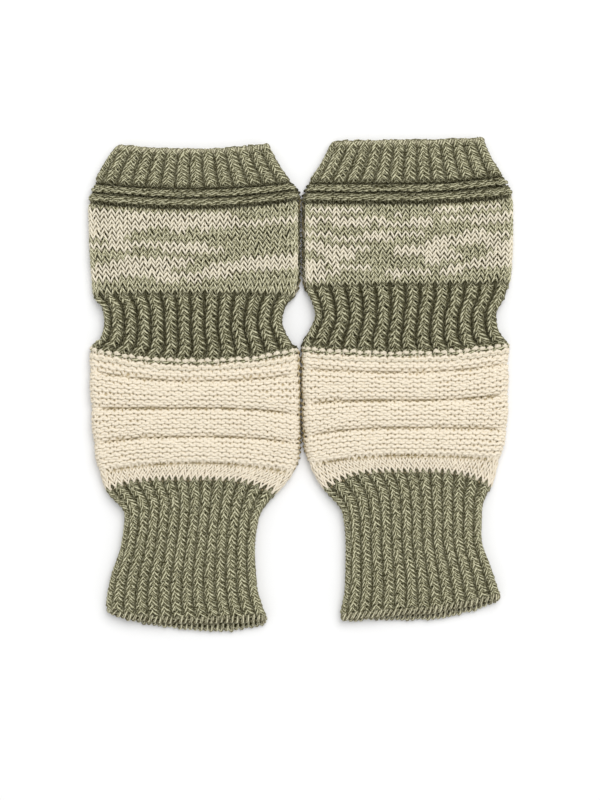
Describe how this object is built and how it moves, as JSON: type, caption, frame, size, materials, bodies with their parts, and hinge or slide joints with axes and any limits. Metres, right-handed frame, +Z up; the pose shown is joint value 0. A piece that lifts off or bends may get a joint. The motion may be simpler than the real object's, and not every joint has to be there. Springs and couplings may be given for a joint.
{
  "type": "pair of knitted fingerless gloves",
  "caption": "Long fingerless knitted gloves laid flat side by side: ribbed cuffs and waist, a variegated band and a cream band with raised welts.",
  "frame": {"origin": "on the table, in the middle of the pair", "axes": "+Z up from the table, +Y along the arm towards the top cuffs, +X across the pair to the right"},
  "size_m": [0.2024, 0.235, 0.0069],
  "materials": {
    "olive_marl": "matt olive marl yarn, softly heathered",
    "variegated_yarn": "matt yarn dyed in lengths of olive and cream",
    "cream_yarn": "matt cream yarn"
  },
  "bodies": {
    "root": {"left_top_rib": "olive_marl", "left_garter_band": "olive_marl", "left_variegated_band": "variegated_yarn", "left_waist_rib": "olive_marl", "left_welted_body": "cream_yarn", "left_wrist_rib": "olive_marl", "right_top_rib": "olive_marl", "right_garter_band": "olive_marl", "right_variegated_band": "variegated_yarn", "right_waist_rib": "olive_marl", "right_welted_body": "cream_yarn", "right_wrist_rib": "olive_marl"}
  },
  "joints": []
}
